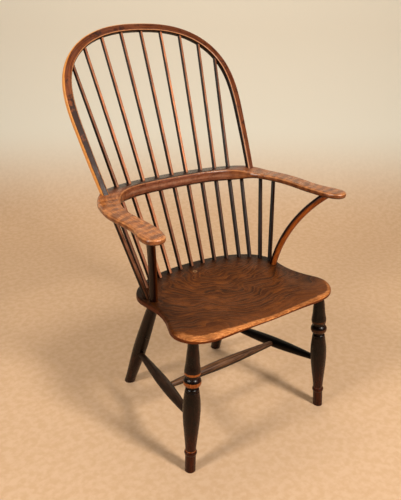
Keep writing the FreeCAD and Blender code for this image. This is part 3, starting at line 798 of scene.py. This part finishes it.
def arm_wood():
    """Wood of the arm bow, with the grain along its bend."""
    material, tree = begin("wood_arm_bow")
    place = chair_place(tree)
    centred = onto_piece(tree, place, (0, bow_straight, bow_low.z))
    bow = use(tree, bent, {"Vector": centred, "Half Width": bow_half, "Crown": bow_crown,
                           "Squareness": 2.6})["Vector"]
    grain = fibres(tree, bow, streak=0.0028, stretch=16.0, seed=8.4)
    ripple = use(tree, curl, {"Vector": bow, "Spacing": 0.030, "Slant": 0.35})["Ripple"]
    wax = old_wax(tree, place, cloud_size=0.05)
    split = parts(tree, place)
    facing_up = towards(tree, (0, 0, 1))
    arms = ramp(tree, split["Y"], *arms_to_back, 1.0, 0.0)

    back = blend(tree, grain["Streaks"], rgb(80, 37, 23), rgb(140, 80, 54))
    # A painted highlight: a pale band along the middle of the back stands in for the sheen of its
    # rounded face.
    paler = window(tree, split["Z"], *paler_height, 0.008)
    paler = rubbed_away(tree, bow, paler, start=0.35, end=1.1, ragged=0.6, patch=0.03)
    back = cover(tree, back, paler, 0.55, rgb(196, 142, 112))
    arm = blend(tree, grain["Streaks"], rgb(146, 80, 38), rgb(206, 130, 72))
    arm = cover(tree, arm, ripple, 0.66, rgb(80, 37, 14))
    wood = blend(tree, arms, back, arm)
    wood = cover(tree, wood, ramp(tree, split["X"], *right_arm_across), 0.28, rgb(84, 42, 18))

    # Painted shade: the sides of the arms are painted darker.
    cheek = times(tree, ramp(tree, facing_up, 0.55, 0.05), arms)
    wood = cover(tree, wood, cheek, 0.55, rgb(84, 40, 20))
    # Painted shade: the underside is painted near black.
    wood = cover(tree, wood, ramp(tree, facing_up, -0.15, -0.75), 0.85, rgb(34, 17, 11))
    # The upper corners get a pale line: partly rubbed wear, partly a painted highlight.
    corner = window(tree, facing_up, 0.35, 0.85, 0.1)
    corner = rubbed_away(tree, bow, corner, start=0.5, end=1.2, ragged=0.7, patch=0.02)
    wood = cover(tree, wood, corner, 0.40, rgb(226, 158, 102))
    # Painted shade: the lower corner of the bow is painted dark.
    wood = cover(tree, wood, ramp(tree, split["Z"], *low_corner_height), 0.85, rgb(36, 17, 11))
    # Painted shade: a dark strip on the top of the bow, behind the hoop.
    behind = times(tree, ramp(tree, split["Y"], *shade_strip), ramp(tree, facing_up, 0.55, 0.9))
    wood = cover(tree, wood, behind, 0.9, rgb(30, 18, 13))
    wood = cover(tree, wood, grain["Pores"], 0.35, rgb(48, 24, 13))
    height = maths(tree, "ADD", grain["Streaks"], times(tree, times(tree, ripple, arms), 2.0))
    polish(tree, wood, height, wax, smooth=0.24, dull=0.40, depth=0.0004, gloss=0.45, coat=0.15)
    dress("arm_bow", material)


arm_wood()
print("arm bow dressed, crown", round(bow_crown, 3))

# %% [markdown]
# The two crook supports are green sticks, shaved nearly round and bent in a steam chest. Each rises
# steeply from the seat and swings forward and outward to carry the hand.
#
# The CAD model draws them flatter than they are, so the scene makes them again at their full
# thickness, along the same arc. Both ends run a little into the wood of the seat and the arm,
# where a tenon would be, and are cut level there.

# %% Line of a crook
crook_width = 0.0215
crook_depth = 0.0200
arm_under = 0.632
crook_foot = Vector((0.2120, -0.08622, 0.4000))
crook_head = Vector((0.2870, -0.20122, arm_under))
crook_lean = radians(10)
let_in = 0.006
spare_length = 0.03
up = Vector((0, 0, 1))


def crook_line(side):
    """Foot, head, radius, angle, centre and axis of a bend, and the flat way it swings."""
    foot = Vector((crook_foot.x * side, crook_foot.y, crook_foot.z))
    head = Vector((crook_head.x * side, crook_head.y, crook_head.z))
    chord = head - foot
    level_chord = Vector((chord.x, chord.y, 0))
    flat = level_chord.normalized()
    sideways = level_chord.length * cos(crook_lean) - chord.z * sin(crook_lean)
    radius = chord.length_squared / (2 * sideways)
    angle = 2 * asin(chord.length / (2 * radius))
    centre = foot + (flat * cos(crook_lean) - up * sin(crook_lean)) * radius
    return foot, head, radius, angle, centre, up.cross(flat), flat


print("radius of the bend:", round(crook_line(1)[2], 3), "m")

# %% [markdown]
# The section starts a spare length below the foot, as a circle squeezed to an oval and set square
# to the line of the stick. Spin sweeps it round the centre of the bend, past the head. Two cuts
# with bisect then trim the ends and close them.

# %% Crook supports
def crook(side):
    """A bent oval stick, on the right of the chair for side 1 and on its left for side -1."""
    foot, head, radius, angle, centre, axis, flat = crook_line(side)
    spare = spare_length / radius
    back_off = Matrix.Rotation(-spare, 3, axis)
    start = centre + back_off @ (foot - centre)
    along = back_off @ (flat * sin(crook_lean) + up * cos(crook_lean))
    section = Matrix((axis, along.cross(axis), along)).transposed().to_4x4()
    oval = Matrix.Diagonal((crook_width / 2, crook_depth / 2, 1, 1))
    bpy.ops.object.select_all(action="DESELECT")
    bpy.ops.mesh.primitive_circle_add(vertices=32, radius=1.0, fill_type="NOTHING")
    stick = bpy.context.object
    stick.name = "crook_right" if side > 0 else "crook_left"
    stick.matrix_world = Matrix.Translation(start) @ section @ oval
    bpy.ops.object.transform_apply(location=True, rotation=True, scale=True)
    bpy.ops.object.mode_set(mode="EDIT")
    bpy.ops.mesh.select_all(action="SELECT")
    bpy.ops.mesh.spin(steps=40, angle=-angle - 2 * spare, center=centre, axis=axis)
    for level, outer in ((foot.z - let_in, False), (head.z + let_in, True)):
        bpy.ops.mesh.select_all(action="SELECT")
        bpy.ops.mesh.bisect(plane_co=(0, 0, level), plane_no=(0, 0, 1), use_fill=True,
                            clear_outer=outer, clear_inner=not outer)
    bpy.ops.mesh.select_all(action="SELECT")
    bpy.ops.mesh.normals_make_consistent(inside=False)
    bpy.ops.object.mode_set(mode="OBJECT")
    bpy.ops.object.shade_smooth_by_angle(angle=radians(40))
    return stick


crooks = {side: crook(side) for side in (-1, 1)}
for side, stick in crooks.items():
    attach(stick, "root")
    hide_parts("arm_support_right" if side > 0 else "arm_support_left")
    heights = [vertex.co.z for vertex in stick.data.vertices]
    print(stick.name, "from", round(min(heights), 4), "to", round(max(heights), 4))

# %% [markdown]
# The side of each crook that looks forward is painted paler, partly as wear rubbed by sleeves and
# partly as painted light, the right one far more than the left, and the other sides are almost
# black. The grain runs from foot to head.

# %% Wood of the supports
def support_wood(name, stick, number, share, facing):
    """Black stain, made paler by a share on the side that faces a way: partly wear, partly painted
    light.
    """
    material, tree = begin("wood_" + name)
    place = stick_coordinates(tree, name)
    grain = fibres(tree, place, streak=0.0018, stretch=24.0, seed=12.0 + number)
    wax = old_wax(tree, place, cloud_size=0.05)
    # The paler side is partly rubbed wear and partly painted light.
    worn = rubbed_away(tree, place, towards(tree, facing), start=0.45, end=0.95,
                       ragged=0.20, patch=0.02)
    stain = blend(tree, grain["Streaks"], rgb(10, 4, 2), rgb(36, 13, 6))
    bare = blend(tree, grain["Streaks"], rgb(104, 46, 16), rgb(168, 88, 36))
    colour = blend(tree, times(tree, worn, share), stain, bare)
    colour = cover(tree, colour, grain["Pores"], 0.5, rgb(22, 11, 7))
    polish(tree, colour, grain["Streaks"], wax, smooth=0.30, dull=0.42, depth=0.0002, gloss=0.18)
    stick.data.materials.append(material)


support_wood("arm_support_left", crooks[-1], 0, share=0.22, facing=(0.75, -0.65, 0))
support_wood("arm_support_right", crooks[1], 1, share=1.0, facing=(-0.45, -0.85, -0.05))
print("supports dressed:", len(crooks))

# %% [markdown]
# The seat is the showpiece: one wide plank of elm with a swirling figure. Over the figure lie the
# marks of use, and most of them follow the edge of the plank: black old polish round the back,
# where nobody sits, and bare wood along the front, which also carries a painted highlight.
#
# So two measures are worked out first. One is a squarish distance from the middle, which is 1 at
# the rim all round. The other is the true distance in from the front edge, which bulges a little
# and turns round two corners.

# %% Measures on the seat
seat_low, seat_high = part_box("seat")
seat_middle = (seat_low + seat_high) / 2
seat_half = (seat_high - seat_low) / 2
corner_radius = 0.065
front_bulge = 0.014
outline_power = 2.6
print("seat box:", [round(v, 3) for v in (*seat_low, *seat_high)])


def seat_outward(tree, aside, fore_aft):
    """0 in the middle of the seat and 1 at its rim."""
    aside_part = maths(tree, "POWER", aside, outline_power)
    fore_part = maths(tree, "POWER", maths(tree, "ABSOLUTE", fore_aft), outline_power)
    return maths(tree, "POWER", maths(tree, "ADD", aside_part, fore_part), 1 / outline_power)


def in_from_front(tree, split, aside):
    """Distance in from the front edge, in metres, right near the front alone."""
    bulge = times(tree, maths(tree, "SUBTRACT", 1.0, times(tree, aside, aside)), front_bulge)
    corner_y = seat_low.y + front_bulge + corner_radius
    corner_x = seat_half.x - corner_radius
    before = maths(tree, "SUBTRACT", corner_y, maths(tree, "ADD", split["Y"], bulge))
    before = maths(tree, "MAXIMUM", before, 0.0)
    beside = maths(tree, "SUBTRACT", maths(tree, "ABSOLUTE", split["X"]), corner_x)
    beside = maths(tree, "MAXIMUM", beside, 0.0)
    squares = maths(tree, "ADD", times(tree, before, before), times(tree, beside, beside))
    return maths(tree, "SUBTRACT", corner_radius, maths(tree, "SQRT", squares))


# %% [markdown]
# The rings close round a bull's-eye near the back, where a branch once left the trunk, and the
# rest of the plank shows their far sweeps. A small round plug fills an old hole. The sides are
# reddish, and the underside is painted dark as shade. The front edge is painted bright orange,
# partly as wear rubbed by legs and partly as a painted highlight, in a band that is widest on the
# left.

# %% Seat
bulls_eye = (0.061, -0.018, seat_high.z)
figure_turn = radians(-20)
figure_stretch = (1.5, 1.0, 1.0)
plug_place = (-0.0165, 0.0014, 0.0)
plug_edge = (0.0075, 0.0060)
plug_core = (0.0048, 0.0036)
front_part = (seat_low.y + 0.085, seat_low.y + 0.045)
glow_in = (0.062, 0.015)
band_across = (-0.25, 0.10)
band_left, band_right = 0.030, 0.015
right_corner = (0.16, 0.245)


def seat_figure(tree, place, grain, wax):
    """Elm under old polish: streaks, clouds, and rings round the bull's-eye."""
    figure_place = onto_piece(tree, place, bulls_eye, (0, 0, figure_turn), figure_stretch)
    rings = use(tree, elm, {"Vector": figure_place, "Ring Width": 0.023, "Waviness": 0.24})
    wood = blend(tree, grain["Streaks"], rgb(66, 31, 9), rgb(112, 60, 22))
    wood = cover(tree, wood, wax, 0.52, rgb(46, 22, 7))
    wood = cover(tree, wood, rings["Rings"], 0.50, rgb(146, 82, 33))
    wood = cover(tree, wood, rings["Late Edge"], 0.80, rgb(24, 11, 4))
    return wood, rings["Late Edge"]


def plugged(tree, place, wood):
    """The plug: a pale ring of glue round a dark core."""
    off_plug = vector_maths(tree, "SUBTRACT", place, plug_place)
    off_plug = vector_maths(tree, "MULTIPLY", off_plug, (1, 1, 0))
    off_plug = vector_maths(tree, "LENGTH", off_plug, result="Value")
    wood = cover(tree, wood, ramp(tree, off_plug, *plug_edge), 0.7, rgb(172, 128, 88))
    return cover(tree, wood, ramp(tree, off_plug, *plug_core), 0.8, rgb(70, 46, 30))


def seat_wood():
    """Wood of the seat, from the figure up to the front edge of wear and painted highlight."""
    material, tree = begin("wood_seat")
    place = chair_place(tree)
    grain_place = onto_piece(tree, place, (0, 0, 0), (0, radians(90), figure_turn))
    grain = fibres(tree, grain_place, streak=0.0022, stretch=8.0, seed=2.0)
    wax = old_wax(tree, place, cloud_size=0.07)
    split = parts(tree, place)
    aside = maths(tree, "DIVIDE", maths(tree, "ABSOLUTE", split["X"]), seat_half.x)
    fore_aft = maths(tree, "SUBTRACT", split["Y"], seat_middle.y)
    fore_aft = maths(tree, "DIVIDE", fore_aft, seat_half.y)
    from_edge = in_from_front(tree, split, aside)
    before_front = ramp(tree, split["Y"], *front_part)
    facing_up = towards(tree, (0, 0, 1))

    wood, late_edge = seat_figure(tree, place, grain, wax)
    glow = times(tree, ramp(tree, from_edge, *glow_in), before_front)
    wood = cover(tree, wood, glow, 0.45, rgb(140, 76, 32))
    rim = ramp(tree, seat_outward(tree, aside, fore_aft), 0.50, 0.98)
    old_polish = times(tree, rim, ramp(tree, fore_aft, -0.75, 0.30, 0.35, 1.0))
    wood = cover(tree, wood, old_polish, 0.90, rgb(22, 12, 8))
    wood = plugged(tree, place, wood)
    wood = cover(tree, wood, ramp(tree, facing_up, 0.62, 0.15), 0.6, rgb(88, 40, 20))

    # The bright front band is partly wear rubbed by legs and partly a painted highlight on the
    # rolled edge.
    band_width = ramp(tree, split["X"], *band_across, band_left, band_right)
    nose = ramp(tree, maths(tree, "DIVIDE", from_edge, band_width), 1.0, 0.25)
    nose = times(tree, times(tree, nose, before_front), ramp(tree, facing_up, 0.1, 0.5))
    worn = rubbed_away(tree, grain_place, nose, start=0.30, end=0.90, ragged=0.50, patch=0.010)
    worn = times(tree, worn, ramp(tree, split["X"], *right_corner, 0.95, 0.45))
    worn = times(tree, worn, ramp(tree, wax, 0.1, 0.9, 1.0, 0.45))
    bare = blend(tree, grain["Streaks"], rgb(140, 72, 28), rgb(232, 152, 88))
    wood = blend(tree, worn, wood, bare)
    # Painted shade: the underside is painted dark.
    wood = cover(tree, wood, ramp(tree, facing_up, 0.05, -0.5), 0.9, rgb(24, 12, 7))
    wood = cover(tree, wood, grain["Pores"], 0.5, rgb(34, 17, 9))
    height = maths(tree, "ADD", grain["Streaks"], times(tree, late_edge, -0.8))
    polish(tree, wood, height, wax, smooth=0.38, dull=0.52, depth=0.0003, gloss=0.12)
    dress("seat", material)


seat_wood()
print("seat dressed, bull's-eye at", [round(v, 3) for v in bulls_eye])

# %% [markdown]
# Floor and backdrop are one plain matt surface, warm below and paler above, with a trace of
# mottling, so that it doesn't look like paper.

# %% Floor finish
wall_from, wall_to = 0.0, 0.45
floor_material, floor_tree = begin("pale_floor")
floor_place = chair_place(floor_tree)
mottle = old_wax(floor_tree, floor_place, cloud_size=0.02)
floor_colour = blend(floor_tree, mottle, rgb(206, 170, 135), rgb(214, 180, 147))
wall_share = ramp(floor_tree, parts(floor_tree, floor_place)["Z"], wall_from, wall_to)
floor_colour = blend(floor_tree, wall_share, floor_colour, rgb(226, 221, 206))
floor_shader = floor_tree.nodes["Principled BSDF"]
floor_tree.links.new(floor_colour, floor_shader.inputs["Base Color"])
floor_shader.inputs["Roughness"].default_value = 0.95
floor_shader.inputs["Specular IOR Level"].default_value = 0.1
floor.data.materials.append(floor_material)
print("floor dressed, and plain wall from", wall_to, "m up")

# %% [markdown]
# Last, the script prints how many materials it has made.

# %% The end
print("materials:", len(bpy.data.materials))
